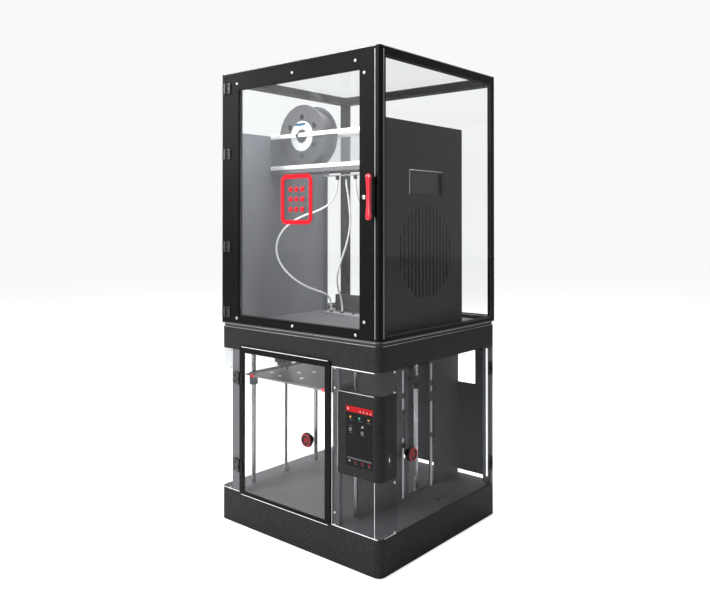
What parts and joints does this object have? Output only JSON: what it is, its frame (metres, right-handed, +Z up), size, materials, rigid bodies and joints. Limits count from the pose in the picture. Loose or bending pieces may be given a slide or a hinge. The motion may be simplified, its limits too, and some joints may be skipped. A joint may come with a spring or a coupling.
{
  "type": "enclosed 3d printer",
  "caption": "Enclosed filament printer with a glazed build chamber, a lifting bed, a moving gantry, a touch screen and a glass-doored spool cabinet on top.",
  "frame": {"origin": "middle of the footprint on the ground, measured over the door handle and the side knob", "axes": "+Z up, +X to the right seen from the front, +Y from the front doors to the rear"},
  "size_m": [0.642, 0.6014, 1.353],
  "materials": {
    "textured_black": "fine textured black powder coat",
    "satin_black": "satin black anodised aluminium",
    "grey_sheet": "dark grey powder-coated sheet",
    "deck_grey": "mid grey powder-coated sheet",
    "silver": "clear anodised aluminium",
    "steel": "bright ground steel",
    "clear": "clear glazing",
    "smoked": "lightly tinted glazing",
    "black_plastic": "moulded black plastic",
    "red_plastic": "gloss red plastic",
    "white_plastic": "white plastic",
    "grey_plastic": "grey moulded plastic",
    "screen": "dark glossy display",
    "rubber": "black rubber",
    "belt": "ribbed black belt",
    "tube_white": "translucent white tube",
    "brass": "turned brass",
    "board": "green circuit board"
  },
  "bodies": {
    "printer_body": {"base_plinth": "textured_black", "rubber_feet": "rubber", "deck_plate": "deck_grey", "frame_posts": "satin_black", "head_shell": "textured_black", "lower_windows": "clear", "screen_housing": "textured_black", "touch_screen": "screen", "usb_port": "black_plastic", "side_partition": "grey_sheet", "rear_panel": "grey_sheet", "guide_rods": "steel", "rod_plates": "silver", "axis_motors": "black_plastic", "y_belts": "belt", "power_supply": "silver", "control_board": "board", "power_inlet": "black_plastic", "cabinet_seal": "rubber", "cabinet_floor": "grey_sheet", "cabinet_posts": "satin_black", "cabinet_rails": "satin_black", "cabinet_panels": "clear", "left_side_plate": "grey_sheet", "right_side_plate": "grey_sheet", "rack_tray": "grey_sheet", "rack_plates": "clear", "rack_rails": "white_plastic", "spool_spindle": "black_plastic", "tube_brackets": "silver", "tube_fittings": "black_plastic", "filament_tube_1": "tube_white", "filament_tube_2": "tube_white", "filament_tube_3": "tube_white", "fixed_hinge_leaves": "silver"},
    "cabinet_door": {"cabinet_door_frame": "satin_black", "cabinet_door_glass": "clear", "cabinet_door_leaves": "silver", "handle_base": "black_plastic", "door_handle": "red_plastic"},
    "front_door": {"front_door_frame": "satin_black", "front_door_glass": "clear", "front_door_leaves": "black_plastic", "front_door_knob": "black_plastic"},
    "side_door": {"side_door_panel": "smoked", "side_door_leaves": "black_plastic", "side_door_knob": "black_plastic"},
    "bed": {"bed_plate": "satin_black", "bed_carriage": "satin_black", "bed_clips": "red_plastic"},
    "left_screw": {"lead_screw_left": "steel"},
    "right_screw": {"lead_screw_right": "steel"},
    "gantry": {"gantry_beam": "silver", "x_drive": "black_plastic"},
    "drive_shaft": {"y_drive_shaft": "steel"},
    "print_carriage": {"print_head": "black_plastic", "hot_ends": "brass"},
    "filament_reel": {"spool_reel": "grey_plastic", "spool_winding": "grey_plastic"},
    "rocker": {"power_switch": "red_plastic"}
  },
  "joints": [
    {"name": "cabinet_door_hinge", "type": "hinge", "parent": "printer_body", "child": "cabinet_door", "pos_m": [-0.29875, -0.27715, 0.97], "axis": [0, 0, -1], "range_deg": [0, 120]},
    {"name": "front_door_hinge", "type": "hinge", "parent": "printer_body", "child": "front_door", "pos_m": [-0.2293, -0.28345, 0.31], "axis": [0, 0, -1], "range_deg": [0, 120]},
    {"name": "side_door_hinge", "type": "hinge", "parent": "printer_body", "child": "side_door", "pos_m": [0.3028, 0.27215, 0.31], "axis": [0, 0, 1], "range_deg": [0, 115]},
    {"name": "bed_lift", "type": "slide", "parent": "printer_body", "child": "bed", "axis": [0, 0, 1], "range_m": [-0.3, 0]},
    {"name": "left_screw_turn", "type": "hinge", "parent": "printer_body", "child": "left_screw", "pos_m": [-0.265, -0.05235, 0.3], "axis": [0, 0, 1], "continuous": true},
    {"name": "right_screw_turn", "type": "hinge", "parent": "printer_body", "child": "right_screw", "pos_m": [0.151, -0.05235, 0.3], "axis": [0, 0, 1], "continuous": true},
    {"name": "gantry_slide", "type": "slide", "parent": "printer_body", "child": "gantry", "axis": [0, 1, 0], "range_m": [-0.075, 0.225]},
    {"name": "drive_shaft_turn", "type": "hinge", "parent": "printer_body", "child": "drive_shaft", "pos_m": [-0.057, 0.27635, 0.556], "axis": [1, 0, 0], "continuous": true},
    {"name": "carriage_slide", "type": "slide", "parent": "gantry", "child": "print_carriage", "axis": [1, 0, 0], "range_m": [-0.028, 0.272]},
    {"name": "reel_turn", "type": "hinge", "parent": "printer_body", "child": "filament_reel", "pos_m": [-0.169, -0.04835, 1.172], "axis": [0, 1, 0], "continuous": true},
    {"name": "rocker_tilt", "type": "hinge", "parent": "printer_body", "child": "rocker", "pos_m": [-0.176, 0.29365, 0.068], "axis": [1, 0, 0], "range_deg": [-12, 0]}
  ],
  "couplings": [
    {"joint": "left_screw_turn", "follows": "bed_lift", "rad_per_m": 785.4},
    {"joint": "right_screw_turn", "follows": "bed_lift", "rad_per_m": 785.4},
    {"joint": "drive_shaft_turn", "follows": "gantry_slide", "rad_per_m": 140.84}
  ]
}
